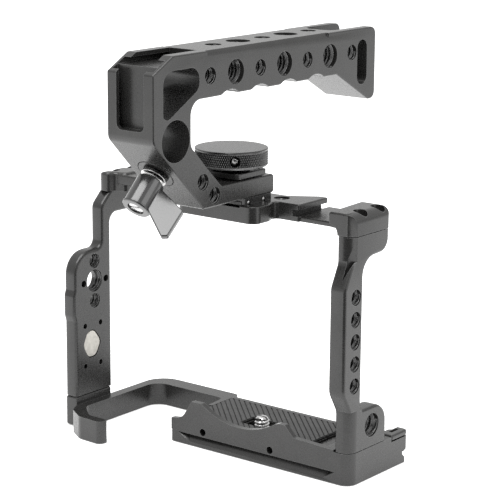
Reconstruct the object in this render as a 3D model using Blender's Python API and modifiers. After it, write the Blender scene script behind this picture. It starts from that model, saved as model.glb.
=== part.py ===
"""Camera cage with clamped top handle, built piece by piece in millimetres and stored in metres.

World frame: +X is the viewer's right when looking at the lens side, +Y is the back, +Z is up.
The origin is on the underside of the dovetail base plate, in the middle of its length and depth.
"""

import math

import bmesh
import bpy
from mathutils import Matrix, Vector

# ---------------------------------------------------------------- driving dimensions (mm, degrees)
MM = 0.001
GAP = 0.3                 # clearance left between neighbouring pieces

QUARTER_HOLE = 6.15       # bore that takes a 1/4 inch camera thread
THREE_EIGHTHS_HOLE = 9.2  # bore that takes a 3/8 inch camera thread

BASE_LEFT = -46.0
BASE_RIGHT = 40.5
BASE_HALF_DEPTH = 19.0    # the dovetail plate is 38 mm deep
BLOCK_REAR = 20.4         # rear face of the raised block at the right end of the base
BASE_FLOOR = 8.3          # top of the plate under the rubber pad
SEAM = 12.4               # height where the side plates stand on the base
LIP_THICKNESS = 2.2
ARM_TOP = 9.2
ARM_OUTER_X = -87.0
ARM_INNER_X = -82.6
ARM_OUTER_Y = 22.5
ARM_INNER_Y = 14.6

SCREW_SLOT_X = -13.75     # camera screw, middle of its slot
SCREW_SLOT_Y = -1.7

RIGHT_SCREW_X = 36.9      # screws that hold the side plates, bottom and top
RIGHT_SCREW_Y = (-12.5, -0.5)
TOP_RIGHT_SCREW_X = 37.2
TOP_RIGHT_SCREW_Y = (-10.6, 0.6)
LEFT_SCREW_X = -89.5
LEFT_SCREW_Y = (-26.0, -14.2)
TOP_LEFT_SCREW_Y = (-3.6, 5.4)
SEAT_HALF = 8.4           # half the width of the block that takes the handle's foot
GRUB_Y = (-29.2, -20.2)   # set screws in the side of that block

LEFT_OUT = -92.5          # left side plate, outer and inner face
LEFT_IN = -86.5
RIGHT_IN = 33.4           # right side plate, inner and outer face
RIGHT_OUT = 40.5
TOP_SEAM_LEFT = 94.6
TOP_SEAM_RIGHT = 95.3
TOP_UNDER = 97.3          # underside and top of the top plate
TOP_FACE = 103.9
RAIL_TOP = 99.3           # top of the low bar between the nose and the right end block
SEAT_FLOOR = 103.0        # bottom of the slot that takes the handle's foot
LEFT_CAP_TOP = 102.2
RIGHT_CAP_TOP = 103.6

HANDLE_X = -8.0           # middle plane of the handle
HANDLE_HALF = 10.6
HANDLE_TOP = 163.3
SIDE_HOLE_Z = 154.4
SIDE_HOLE_Y = -54.6
SIDE_HOLE_PITCH = 14.42
ROD_Y = -73.5
ROD_Z = 133.5
ROD_BORE = 15.0

KNOB_Y = -29.3
KNOB_RADIUS = 13.7
KNOB_LOW = 117.8
KNOB_HIGH = 124.6

LEVER_ORIGIN = (HANDLE_X, -72.05, 120.65)   # point on the sloping face under the rod bore
LEVER_TILT = 135.0                          # turns local +Z to face forward and down
WING_TURN = -20.0                           # turns the lever's wing down behind the barrel
SHOE_GAP = 6.25           # half the gap between cold shoe lips
SHOE_SLOT = 9.2           # half the width of a cold shoe slot

PARTS = "cinema_camera_rig"


# ---------------------------------------------------------------- scene set-up
def clear_scene():
    for item in list(bpy.data.objects):
        bpy.data.objects.remove(item, do_unlink=True)


def collection(name):
    group = bpy.data.collections.new(name)
    bpy.context.scene.collection.children.link(group)
    return group


clear_scene()
parts_group = collection(PARTS)
cutter_group = collection("cutters")


def material(name, colour, metallic, roughness):
    mat = bpy.data.materials.new(name)
    mat.use_nodes = True
    shader = mat.node_tree.nodes["Principled BSDF"]
    shader.inputs["Base Color"].default_value = (*colour, 1.0)
    shader.inputs["Metallic"].default_value = metallic
    shader.inputs["Roughness"].default_value = roughness
    return mat


def anodised(name):
    return material(name, (0.045, 0.045, 0.048), 0.6, 0.42)


def steel(name):
    return material(name, (0.62, 0.62, 0.60), 1.0, 0.25)


def dark_steel(name):
    return material(name, (0.03, 0.03, 0.032), 0.8, 0.35)


def rubber(name):
    return material(name, (0.03, 0.03, 0.031), 0.0, 0.7)


# ---------------------------------------------------------------- shape helpers
def arc_steps(angle, radius):
    """How many straight steps an arc takes: finer where it is large."""
    step = 22.5 if radius < 1.5 else 15.0 if radius < 4.0 else 10.0
    return max(1, math.ceil(abs(angle) / math.radians(step) - 0.01))


def rounded(corners):
    """Outline points from (u, v, radius) corners; a radius of 0 keeps the corner sharp."""
    points = []
    count = len(corners)
    for index in range(count):
        u, v, radius = corners[index]
        here = Vector((u, v))
        if radius <= 0:
            points.append((u, v))
            continue
        before = Vector(corners[index - 1][:2]) - here
        after = Vector(corners[(index + 1) % count][:2]) - here
        before.normalize()
        after.normalize()
        half = before.angle(after) / 2
        reach = radius / math.tan(half)
        middle = here + (before + after).normalized() * (radius / math.sin(half))
        start = here + before * reach - middle
        sweep = (here + after * reach - middle).angle_signed(start)
        steps = arc_steps(sweep, radius)
        for step in range(steps + 1):
            turned_by = sweep * step / steps
            spoke = Matrix.Rotation(turned_by, 2) @ start
            points.append((middle.x + spoke.x, middle.y + spoke.y))
    return points


def arc_through(first, middle, last, steps):
    """Points on the circle through three points, from the first to the last."""
    ax, ay = first
    bx, by = middle
    cx, cy = last
    d = 2 * (ax * (by - cy) + bx * (cy - ay) + cx * (ay - by))
    sa = ax * ax + ay * ay
    sb = bx * bx + by * by
    sc = cx * cx + cy * cy
    ux = (sa * (by - cy) + sb * (cy - ay) + sc * (ay - by)) / d
    uy = (sa * (cx - bx) + sb * (ax - cx) + sc * (bx - ax)) / d
    start = math.atan2(ay - uy, ax - ux)
    end = math.atan2(cy - uy, cx - ux)
    radius = math.hypot(ax - ux, ay - uy)
    points = []
    for step in range(steps + 1):
        angle = start + (end - start) * step / steps
        points.append((ux + radius * math.cos(angle), uy + radius * math.sin(angle)))
    return points


def place(name, mesh, origin, group, mat=None):
    """Object from a mesh in world millimetres, with its origin moved to the given point."""
    offset = Vector(origin)
    mesh.transform(Matrix.Scale(MM, 4) @ Matrix.Translation(-offset))
    mesh.name = name
    item = bpy.data.objects.new(name, mesh)
    item.location = offset * MM
    if mat is not None:
        mesh.materials.clear()
        mesh.materials.append(mat)
    group.objects.link(item)
    return item


def tidy_mesh(mesh):
    shape = bmesh.new()
    shape.from_mesh(mesh)
    bmesh.ops.remove_doubles(shape, verts=shape.verts, dist=0.0001)
    bmesh.ops.dissolve_limit(shape, angle_limit=math.radians(0.5), verts=shape.verts, edges=shape.edges)
    bmesh.ops.recalc_face_normals(shape, faces=shape.faces)
    shape.to_mesh(mesh)
    shape.free()


AXIS_TURN = {
    "X": Matrix(((0, 0, 1, 0), (1, 0, 0, 0), (0, 1, 0, 0), (0, 0, 0, 1))),
    "Y": Matrix(((1, 0, 0, 0), (0, 0, -1, 0), (0, 1, 0, 0), (0, 0, 0, 1))),
    "Z": Matrix.Identity(4),
}


def prism_mesh(outline, axis, low, high):
    """Flat outline, (y, z), (x, z) or (x, y) for axis X, Y or Z, extruded between two positions."""
    curve = bpy.data.curves.new("outline", "CURVE")
    curve.dimensions = "2D"
    curve.fill_mode = "BOTH"
    spline = curve.splines.new("POLY")
    spline.points.add(len(outline) - 1)
    for point, (u, v) in zip(spline.points, outline):
        point.co = (u, v, 0, 1)
    spline.use_cyclic_u = True
    curve.extrude = (high - low) / 2
    holder = bpy.data.objects.new("outline", curve)
    mesh = bpy.data.meshes.new_from_object(holder)
    bpy.data.objects.remove(holder)
    bpy.data.curves.remove(curve)
    middle = (low + high) / 2
    if axis == "Y":
        middle = -middle
    mesh.transform(AXIS_TURN[axis] @ Matrix.Translation((0, 0, middle)))
    tidy_mesh(mesh)
    return mesh


def box_mesh(x0, x1, y0, y1, z0, z1):
    shape = bmesh.new()
    size = Matrix.Diagonal((x1 - x0, y1 - y0, z1 - z0, 1))
    centre = Matrix.Translation(((x0 + x1) / 2, (y0 + y1) / 2, (z0 + z1) / 2))
    bmesh.ops.create_cube(shape, size=1, matrix=centre @ size)
    mesh = bpy.data.meshes.new("box")
    shape.to_mesh(mesh)
    shape.free()
    return mesh


def hull_mesh(points):
    """Smallest convex solid round the given points."""
    shape = bmesh.new()
    for point in points:
        shape.verts.new(point)
    bmesh.ops.convex_hull(shape, input=shape.verts)
    bmesh.ops.recalc_face_normals(shape, faces=shape.faces)
    mesh = bpy.data.meshes.new("hull")
    shape.to_mesh(mesh)
    shape.free()
    return mesh


def cylinder_mesh(axis, centre, radius, low, high, segments=24, top_radius=None):
    """Cylinder along an axis; centre is the (u, v) position across that axis."""
    shape = bmesh.new()
    bmesh.ops.create_cone(
        shape, cap_ends=True, segments=segments, radius1=radius,
        radius2=radius if top_radius is None else top_radius, depth=high - low,
    )
    mesh = bpy.data.meshes.new("cylinder")
    shape.to_mesh(mesh)
    shape.free()
    along = (low + high) / 2
    if axis == "Y":
        along = -along
    mesh.transform(AXIS_TURN[axis] @ Matrix.Translation((centre[0], centre[1], along)))
    return mesh


def turned_mesh(profile, steps=32):
    """Solid of revolution about Z from (radius, height) points running from top to bottom."""
    shape = bmesh.new()
    corners = [shape.verts.new((radius, 0, height)) for radius, height in profile]
    edges = [shape.edges.new(pair) for pair in zip(corners, corners[1:])]
    bmesh.ops.spin(
        shape, geom=corners + edges, cent=(0, 0, 0), axis=(0, 0, 1),
        angle=math.tau, steps=steps, use_merge=True,
    )
    bmesh.ops.remove_doubles(shape, verts=shape.verts, dist=0.0001)
    bmesh.ops.recalc_face_normals(shape, faces=shape.faces)
    mesh = bpy.data.meshes.new("turned")
    shape.to_mesh(mesh)
    shape.free()
    return mesh


def new_part(name, mesh, mat, origin=(0, 0, 0)):
    return place(name, mesh, origin, parts_group, mat)


def new_cutter(name, mesh):
    item = place("cut_" + name, mesh, (0, 0, 0), cutter_group)
    item.hide_render = True
    item.display_type = "WIRE"
    return item


def bevel(item, width, segments=2, angle=35):
    step = item.modifiers.new("edge_break", "BEVEL")
    step.width = width * MM
    step.segments = segments
    step.limit_method = "ANGLE"
    step.angle_limit = math.radians(angle)
    step.use_clamp_overlap = True
    return item


def combine(item, other, operation):
    step = item.modifiers.new(operation.lower(), "BOOLEAN")
    step.operation = operation
    step.solver = "EXACT"
    step.object = other
    return item


def cut(item, mesh, name="tool"):
    return combine(item, new_cutter(name, mesh), "DIFFERENCE")


def add(item, mesh, name="extra", edge=0.0):
    other = new_cutter(name, mesh)
    if edge:
        bevel(other, edge)
    return combine(item, other, "UNION")


def drill(item, axis, centre, diameter, low, high, segments=20):
    return cut(item, cylinder_mesh(axis, centre, diameter / 2, low, high, segments), "drill")


def tilted(mesh):
    """Moves a mesh drawn about the local lever axis into world millimetres."""
    turn = Matrix.Rotation(math.radians(LEVER_TILT), 4, "X")
    mesh.transform(Matrix.Translation(LEVER_ORIGIN) @ turn)
    return mesh


# ---------------------------------------------------------------- base
def lip_outline():
    """Front wall of the base: raised horns either side of the lens scoop."""
    horn_left = [
        (BASE_LEFT, 5.0, 0), (BASE_LEFT, 9.6, 0), (-40.6, 10.2, 6.0), (-35.6, 18.2, 1.0), (-30.6, 18.2, 0.8),
    ]
    scoop = [(x, z, 0) for x, z in arc_through((-29.9, 17.8), (-12.0, 12.3), (5.5, 17.4), 10)]
    horn_right = [
        (7.6, 18.1, 1.0), (10.4, 18.1, 0.6), (14.4, 13.9, 0.8), (33.0, 13.2, 0), (33.0, SEAM, 0),
        (35.0, SEAM, 0), (35.0, 5.0, 0),
    ]
    return rounded(horn_left + scoop + horn_right)


def arm_outline():
    """Loop that passes behind the camera grip and ends in a hook in front of it."""
    return rounded([
        (-44.0, 4.0, 0), (-44.0, ARM_OUTER_Y, 2.5), (ARM_OUTER_X, ARM_OUTER_Y, 9.5),
        (ARM_OUTER_X, -30.0, 2.0), (-83.8, -35.8, 3.0), (-76.0, -40.6, 6.0), (-64.6, -41.2, 2.2),
        (-63.8, -36.6, 1.2), (-74.0, -36.8, 5.0), (ARM_INNER_X, -29.5, 5.0),
        (ARM_INNER_X, ARM_INNER_Y, 6.0), (-46.6, ARM_INNER_Y, 2.5), (-45.6, 4.0, 0),
    ])


def dovetail_cutter(side):
    """Groove with a 45 degree lower flank; the front one runs out to a point at both ends."""
    inner = side * (BASE_HALF_DEPTH - 2.4)
    outer = side * (BASE_HALF_DEPTH + 1.0)
    run_out = (30.8, 29.5, 35.0, 28.1) if side < 0 else (44.0, 44.0, 44.0, 44.0)
    return hull_mesh([
        (-39.5, inner, 4.6), (run_out[0], inner, 4.6), (-38.2, inner, 3.6), (run_out[1], inner, 3.6),
        (-43.9, outer, 4.6), (run_out[2], outer, 4.6), (-35.8, outer, 0.5), (run_out[3], outer, 0.5),
    ])


def base_plate():
    foot = rounded([
        (BASE_LEFT, -BASE_HALF_DEPTH, 0.6), (BASE_RIGHT, -BASE_HALF_DEPTH, 4.5),
        (BASE_RIGHT, BASE_HALF_DEPTH, 1.0), (BASE_LEFT, BASE_HALF_DEPTH, 0.6),
    ])
    item = new_part("base_plate", prism_mesh(foot, "Z", 0, BASE_FLOOR), anodised("base_plate_anodised"))
    block = rounded([
        (34.0, -BASE_HALF_DEPTH, 0), (BASE_RIGHT, -BASE_HALF_DEPTH, 4.5),
        (BASE_RIGHT, BLOCK_REAR, 1.8), (34.0, BLOCK_REAR, 0),
    ])
    add(item, prism_mesh(block, "Z", 5.0, SEAM), "seat_block")
    add(item, prism_mesh(lip_outline(), "Y", -BASE_HALF_DEPTH, -BASE_HALF_DEPTH + LIP_THICKNESS), "lip")
    add(item, prism_mesh(arm_outline(), "Z", 0, ARM_TOP), "arm")
    add(item, box_mesh(LEFT_OUT, LEFT_IN, -30.6, -9.6, 0, SEAM), "upstand", 0.8)
    add(item, box_mesh(-44, 34, 16.9, BASE_HALF_DEPTH, 5.0, 9.3), "rear_rim")
    cut(item, dovetail_cutter(-1), "front_dovetail")
    cut(item, dovetail_cutter(1), "rear_dovetail")
    cut(item, box_mesh(14.8, 20.0, -13.0, 16.0, 5.2, 20.0), "key_recess")
    cut(item, box_mesh(-20.5, -7.0, SCREW_SLOT_Y - 3.5, SCREW_SLOT_Y + 3.5, -1, 12), "screw_slot")
    cut(item, box_mesh(-25.0, -3.0, SCREW_SLOT_Y - 7.2, SCREW_SLOT_Y + 7.2, -1, 5.0), "screw_head_slot")
    for x, z in ((-29.9, 6.6), (3.2, 6.5)):
        drill(item, "Y", (x, z), 3.0, -20, -15.0, 16)
    for y in RIGHT_SCREW_Y:
        drill(item, "Z", (RIGHT_SCREW_X, y), 5.4, -1, 4.2, 20)
        drill(item, "Z", (RIGHT_SCREW_X, y), 3.4, 3, 14, 12)
    for y in LEFT_SCREW_Y:
        drill(item, "Z", (LEFT_SCREW_X, y), 5.0, -1, 4.2, 20)
        drill(item, "Z", (LEFT_SCREW_X, y), 2.9, 3, 14, 12)
    cut(item, box_mesh(32.0, 41.5, 8.8, 22.0, 10.4, 14.0), "ledge_seat")
    return item


def base_pad():
    outline = rounded([
        (-43.4, -16.4, 0.5), (14.3, -16.4, 0.5), (14.3, 16.5, 0.5), (-43.4, 16.5, 3.0),
    ])
    top = BASE_FLOOR + GAP + 0.8
    item = new_part("base_pad", prism_mesh(outline, "Z", BASE_FLOOR + GAP, top), rubber("base_pad_rubber"))
    cut(item, box_mesh(-21.5, -6.0, SCREW_SLOT_Y - 4.3, SCREW_SLOT_Y + 4.3, 5, 12), "pad_slot")
    return item


def key_strip():
    """Flat metal strip lying in the recess beside the pad."""
    outline = rounded([(15.4, -12.2, 1.0), (19.4, -12.2, 1.0), (19.4, 15.4, 1.0), (15.4, 15.4, 1.0)])
    item = new_part("key_strip", prism_mesh(outline, "Z", 5.5, 7.9), anodised("key_strip_anodised"))
    return bevel(item, 0.4)


def rear_ledge():
    """Small plate let into the right rear corner of the base, raised and slotted at its outer side."""
    outline = rounded([(32.4, 9.2, 0.8), (40.5, 9.2, 0.8), (40.5, BLOCK_REAR, 1.8), (34.4, BLOCK_REAR, 0.8), (32.4, 18.4, 0.8)])
    item = new_part("rear_ledge", prism_mesh(outline, "Z", 10.6, 12.9), anodised("rear_ledge_anodised"))
    bevel(item, 0.7)
    cut(item, box_mesh(31.0, 35.9, 7.0, 22.0, 11.5, 14.0), "ledge_step")
    return cut(item, box_mesh(36.6, 37.9, 12.8, 17.6, 11.5, 14.0), "ledge_slot")


def camera_screw():
    profile = [
        (0, 12.4), (2.2, 12.4), (3.1, 11.5), (3.1, 4.3), (6.0, 4.3), (6.0, 2.1), (5.5, 1.6), (0, 1.6),
    ]
    mesh = turned_mesh(profile, 32)
    mesh.transform(Matrix.Translation((SCREW_SLOT_X, SCREW_SLOT_Y, 0)))
    origin = (SCREW_SLOT_X, SCREW_SLOT_Y, 4.0)
    item = new_part("camera_screw", mesh, steel("camera_screw_steel"), origin)
    cut(item, box_mesh(-19.5, -8.0, SCREW_SLOT_Y - 0.6, SCREW_SLOT_Y + 0.6, 1, 2.8), "coin_slot")
    return cut(item, box_mesh(-19.5, -8.0, SCREW_SLOT_Y - 0.45, SCREW_SLOT_Y + 0.45, 11.6, 14), "top_slot")


def screw_washer():
    profile = [(3.5, 4.8), (6.2, 4.8), (6.2, 4.55), (3.5, 4.55), (3.5, 4.8)]
    mesh = turned_mesh(profile, 32)
    mesh.transform(Matrix.Translation((SCREW_SLOT_X, SCREW_SLOT_Y, 0)))
    return new_part("camera_screw_washer", mesh, dark_steel("camera_screw_washer_steel"),
                    (SCREW_SLOT_X, SCREW_SLOT_Y, 4.6))


def base_screw(name, x, y, head_radius, shank_radius, top):
    profile = [
        (0, top), (shank_radius, top), (shank_radius, 3.8), (head_radius, 3.8), (head_radius, 0.8), (0, 0.8),
    ]
    mesh = turned_mesh(profile, 20)
    mesh.transform(Matrix.Translation((x, y, 0)))
    item = new_part(name, mesh, dark_steel(name + "_steel"), (x, y, 2.0))
    return drill(item, "Z", (x, y), head_radius * 1.1, 0, 2.4, 6)


# ---------------------------------------------------------------- side plates
TRIM = 2.0                # how far an outline is drawn past a seam before it is cut off square


def trim_ends(item, low, high):
    """Cuts a bevelled piece off square at its two seams, so that the seams stay fine lines."""
    cut(item, box_mesh(-100, 50, -40, 20, low - 2 * TRIM, low), "trim_low")
    return cut(item, box_mesh(-100, 50, -40, 20, high, high + 2 * TRIM), "trim_high")


def left_side_plate():
    low, high = SEAM + GAP, TOP_SEAM_LEFT - GAP
    outline = rounded([
        (-9.0, low - TRIM, 0), (-9.0, 85.4, 4.0), (10.5, 85.4, 2.0), (10.5, high + TRIM, 0),
        (-7.4, high + TRIM, 0), (-14.4, 89.4, 4.0), (-14.4, 72.2, 3.0), (-30.6, 72.2, 9.5),
        (-30.6, 57.0, 2.0), (-31.4, 54.6, 2.0), (-31.4, 46.4, 2.0), (-30.6, 44.0, 2.0),
        (-30.6, low - TRIM, 0),
    ])
    mesh = prism_mesh(outline, "X", LEFT_OUT, LEFT_IN)
    item = new_part("left_side_plate", mesh, anodised("left_side_plate_anodised"))
    bevel(item, 1.3)
    trim_ends(item, low, high)
    low, high = LEFT_OUT - 1, LEFT_IN + 1
    for z in (67.4, 50.9):
        drill(item, "X", (-19.0, z), QUARTER_HOLE, low, high, 24)
    drill(item, "X", (-19.0, 59.2), THREE_EIGHTHS_HOLE, low, high, 28)
    for y in (-25.4, -12.3):
        drill(item, "X", (y, 59.0), 2.9, LEFT_IN - 3.5, high, 14)
    for y in (-24.9, -15.8):
        for z in (24.3, 41.2):
            drill(item, "X", (y, z), 2.3, low, high, 12)
    cut(item, prism_mesh(badge_outline(0.4), "X", LEFT_IN - 1.3, high), "badge_seat")
    for y in LEFT_SCREW_Y:
        drill(item, "Z", (LEFT_SCREW_X, y), 2.9, 10, 20, 12)
    for y in TOP_LEFT_SCREW_Y:
        drill(item, "Z", (LEFT_SCREW_X, y), 2.9, 88, 96, 12)
    return item


def badge_outline(grow):
    return rounded([
        (-26.0 - grow, 33.0, 4.0), (-23.0, 27.6 - grow, 3.0), (-18.6, 27.8 - grow, 3.0),
        (-15.6 + grow, 33.4, 3.0), (-19.6, 38.8 + grow, 3.0), (-23.4, 38.4 + grow, 3.0),
    ])


def badge():
    item = new_part("badge", prism_mesh(badge_outline(0), "X", LEFT_IN - 1.0, LEFT_IN - 0.2), steel("badge_steel"))
    return bevel(item, 0.2)


def right_side_plate():
    low, high = SEAM + GAP, TOP_SEAM_RIGHT - GAP
    outline = rounded([
        (-18.9, low - TRIM, 0), (-18.9, 28.5, 6.0), (-23.7, 36.5, 6.0), (-23.7, 76.5, 5.0),
        (-19.4, 85.0, 5.0), (-19.4, high + TRIM, 0), (3.9, high + TRIM, 0),
        (3.9, 87.0, 5.0), (-12.2, 86.0, 7.0), (-12.2, 28.2, 2.0), (4.8, 28.2, 7.5), (4.8, low - TRIM, 0),
    ])
    mesh = prism_mesh(outline, "X", RIGHT_IN, RIGHT_OUT)
    item = new_part("right_side_plate", mesh, anodised("right_side_plate_anodised"))
    bevel(item, 1.1)
    trim_ends(item, low, high)
    cut(item, front_corner_cutter(4.4, 10.0, 29.0), "round_corner")
    cut(item, chamfer_cutter(2.7, 79.0, 86.0, 97.0), "upper_chamfer")
    for step in range(5):
        drill(item, "X", (-16.8, 38.9 + 8.43 * step), QUARTER_HOLE, RIGHT_IN - 1, RIGHT_OUT + 1, 24)
    drill(item, "X", (-4.9, 21.0), THREE_EIGHTHS_HOLE, RIGHT_IN - 1, RIGHT_OUT + 1, 28)
    for y in RIGHT_SCREW_Y:
        drill(item, "Z", (RIGHT_SCREW_X, y), 3.4, 10, 17.4 if y > -5 else 22, 12)
    for y in TOP_RIGHT_SCREW_Y:
        drill(item, "Z", (TOP_RIGHT_SCREW_X, y), 3.4, 88, 97, 12)
    return item


def front_corner_cutter(radius, low, high):
    """Tool that rounds the outer front edge of the right plate between two heights."""
    sweep = rounded([
        (RIGHT_OUT - 10, -19.0, 0), (RIGHT_OUT, -19.0, radius), (RIGHT_OUT, -9.0, 0),
    ])
    outline = sweep + [(RIGHT_OUT + 3, -9.0), (RIGHT_OUT + 3, -26.0), (RIGHT_OUT - 10, -26.0)]
    return prism_mesh(outline, "Z", low, high)


def chamfer_cutter(size, low_front, low_side, high):
    """Tool for a 45 degree chamfer that ends in a facet rising from the front to the outer face."""
    near, far = RIGHT_OUT - size, RIGHT_OUT + size
    low_far = low_side + (low_side - low_front)
    return hull_mesh([
        (x, y, z) for x, low in ((near, low_front), (far, low_far)) for z in (low, high)
        for y in (-30.0, -19.4 + x - near)
    ])


# ---------------------------------------------------------------- top plate
def add_cap(item, outline, low, high, edge):
    """End block with soft upper edges and a square lower face at the seam."""
    cap = bevel(new_cutter("cap", prism_mesh(outline, "Z", low - TRIM, high)), edge)
    cut(cap, box_mesh(-100, 50, -40, 20, low - 2 * TRIM, low), "cap_trim")
    return combine(item, cap, "UNION")


def shoulder_cutter(outer, side, top, radius):
    """Tool that rounds the long upper outer edge of an end block."""
    points = [(outer - side * radius, top + 3.0)]
    for step in range(9):
        angle = math.radians(90 * step / 8)
        points.append((
            outer - side * radius * (1 - math.sin(angle)), top - radius * (1 - math.cos(angle)),
        ))
    points += [(outer + side * 3.0, top - radius), (outer + side * 3.0, top + 3.0)]
    return prism_mesh(points, "Y", -25.0, 16.0)


def top_plate():
    nose = rounded([
        (-32.0, -33.0, 4.0), (5.8, -33.0, 4.0), (5.8, -24.0, 3.0), (3.4, -18.0, 2.0), (15.0, -18.0, 0.9),
        (15.0, 0.5, 0.9), (11.5, 0.5, 3.0), (1.0, -6.5, 6.0), (-32.0, -6.5, 0),
    ])
    item = new_part("top_plate", prism_mesh(nose, "Z", TOP_UNDER, TOP_FACE), anodised("top_plate_anodised"))
    bevel(item, 0.5)
    add(item, box_mesh(-88.0, -24.0, -7.0, 3.0, TOP_UNDER, 101.4), "left_bar", 0.6)
    left_cap = rounded([
        (LEFT_OUT, -10.3, 3.4), (-87.0, -10.3, 1.8), (-85.6, -7.2, 1.8), (-80.6, -6.0, 2.0),
        (-80.6, 10.5, 2.0), (LEFT_OUT, 10.5, 2.0),
    ])
    add_cap(item, left_cap, TOP_SEAM_LEFT, LEFT_CAP_TOP, 1.2)
    add(item, box_mesh(12.0, 31.0, -17.0, 5.0, TOP_UNDER, RAIL_TOP), "low_bar", 0.5)
    right_cap = rounded([
        (29.4, -19.5, 0.8), (RIGHT_OUT, -19.5, 0), (RIGHT_OUT, 3.9, 0.8), (27.6, 3.9, 1.5),
    ])
    add_cap(item, right_cap, TOP_SEAM_RIGHT, RIGHT_CAP_TOP, 0.7)
    x = HANDLE_X
    add(item, box_mesh(x - SEAT_HALF, x + SEAT_HALF, -31.6, -15.8, 100.0, 106.6), "seat_block", 0.3)
    cut(item, chamfer_cutter(2.7, 90.0, 90.0, 106.0), "right_cap_chamfer")
    cut(item, shoulder_cutter(RIGHT_OUT, 1, RIGHT_CAP_TOP, 4.0), "right_shoulder")
    cut(item, shoulder_cutter(LEFT_OUT, -1, LEFT_CAP_TOP, 3.0), "left_shoulder")
    relief = rounded([(24.0, 94.0, 0), (24.0, 99.2, 0), (RIGHT_IN, 99.2, 3.6), (RIGHT_IN, 94.0, 0)])
    cut(item, prism_mesh(relief, "Y", -22.0, -17.0), "cap_front_relief")
    cut(item, box_mesh(20.0, RIGHT_IN, -18.0, 8.0, 94.0, TOP_UNDER), "cap_relief")
    cut(item, box_mesh(11.8, 17.0, -20.0, 3.0, RAIL_TOP, 101.9), "rail_groove")
    slot, mouth = SEAT_HALF - 1.5, SEAT_HALF - 3.9
    cut(item, box_mesh(x - slot, x + slot, -36.0, -17.8, SEAT_FLOOR, 105.3), "seat_slot")
    cut(item, box_mesh(x - mouth, x + mouth, -36.0, -17.8, SEAT_FLOOR, 108.0), "seat_mouth")
    drill(item, "Z", (2.3, -11.7), QUARTER_HOLE, 95, 106, 24)
    for y in TOP_RIGHT_SCREW_Y:
        drill(item, "Z", (TOP_RIGHT_SCREW_X, y), 5.4, 98.1, 106, 20)
        drill(item, "Z", (TOP_RIGHT_SCREW_X, y), 3.4, 94, 106, 12)
    for y in TOP_LEFT_SCREW_Y:
        drill(item, "Z", (LEFT_SCREW_X, y), 5.0, 97.0, 104, 20)
        drill(item, "Z", (LEFT_SCREW_X, y), 2.9, 93, 104, 12)
    for y in GRUB_Y:
        drill(item, "X", (y, 104.6), 2.0, x + SEAT_HALF - 2.0, x + SEAT_HALF + 2.0, 12)
    return item


def grub_screw(name, y):
    """Small set screw that pinches the handle foot in its seat."""
    x0 = HANDLE_X + SEAT_HALF - 1.2
    mesh = cylinder_mesh("X", (y, 104.6), 0.7, x0, x0 + 1.0, 12)
    return new_part(name, mesh, steel(name + "_steel"), (x0, y, 104.6))


def cap_screw(name, x, y, top, head_radius, low):
    """Socket screw standing in a counterbore, head up."""
    profile = [
        (0, top), (head_radius, top), (head_radius, top - 2.8), (1.4, top - 2.8), (1.4, low), (0, low),
    ]
    mesh = turned_mesh(profile, 20)
    mesh.transform(Matrix.Translation((x, y, 0)))
    item = new_part(name, mesh, dark_steel(name + "_steel"), (x, y, top))
    return drill(item, "Z", (x, y), head_radius * 1.1, top - 1.6, top + 1, 6)


# ---------------------------------------------------------------- handle
def handle_outline():
    return rounded([
        (-85.4, 134.0, 4.0), (-85.4, 157.6, 1.0), (-74.9, HANDLE_TOP, 1.0), (48.1, HANDLE_TOP, 3.0),
        (48.1, 134.9, 3.0), (43.9, 134.9, 1.5), (22.6, 146.7, 1.5), (-65.1, 146.7, 5.5),
        (-65.1, 130.5, 4.0), (-47.8, 114.0, 1.5), (-17.0, 114.0, 1.2), (-17.0, 107.0, 1.2), (-58.4, 107.0, 2.0),
    ])


def window_outline():
    return rounded([
        (-80.2, 158.2, 5.0), (-60.4, 158.2, 4.5), (-60.8, 150.4, 4.0),
        (-77.6, 141.2, 2.0), (-80.2, 142.2, 1.2),
    ])


def handle_body():
    left, right = HANDLE_X - HANDLE_HALF, HANDLE_X + HANDLE_HALF
    item = new_part("handle_body", prism_mesh(handle_outline(), "X", left, right), anodised("handle_body_anodised"))
    bevel(item, 0.6)
    through = (left - 2, right + 2)
    cut(item, prism_mesh(window_outline(), "X", *through), "window")
    drill(item, "X", (ROD_Y, ROD_Z), ROD_BORE, *through, 40)
    for step in range(7):
        large = step % 2 == 1
        size = THREE_EIGHTHS_HOLE if large else QUARTER_HOLE
        drill(item, "X", (SIDE_HOLE_Y + SIDE_HOLE_PITCH * step, SIDE_HOLE_Z), size, *through, 28 if large else 24)
    for step in range(5):
        large = step % 2 == 1
        size = THREE_EIGHTHS_HOLE if large else QUARTER_HOLE
        floor = 158.6 if large else 159.9
        centre = (HANDLE_X, SIDE_HOLE_Y + SIDE_HOLE_PITCH * (step + 1))
        drill(item, "Z", centre, size, floor, HANDLE_TOP + 2, 28 if large else 24)
    for y, z in ((-58.6, 116.9), (-52.0, 111.2)):
        drill(item, "X", (y, z), QUARTER_HOLE, *through, 24)
    slot = rounded([(35.6, 141.4, 3.2), (42.1, 141.4, 3.2), (42.1, 158.8, 3.2), (35.6, 158.8, 3.2)])
    cut(item, prism_mesh(slot, "X", *through), "rear_slot")
    cut_front_shoe(item)
    cut_top_shoe(item)
    for step in range(4):
        groove = cylinder_mesh("X", (-43.2 + 17.3 * step, 139.8), 8.7, *through, 48)
        cut(item, groove, "finger_groove")
    cut_grip_edges(item)
    cut(item, tilted(cylinder_mesh("Z", (0, 0), 7.15, -0.9, 6, 32)), "lever_seat")
    cut(item, tilted(cylinder_mesh("Z", (0, 0), 2.3, -10.8, 2, 16)), "clamp_screw_hole")
    drill(item, "Z", (HANDLE_X, KNOB_Y), 6.9, 105, 116, 24)
    cut_rear_pocket(item)
    return item


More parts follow.
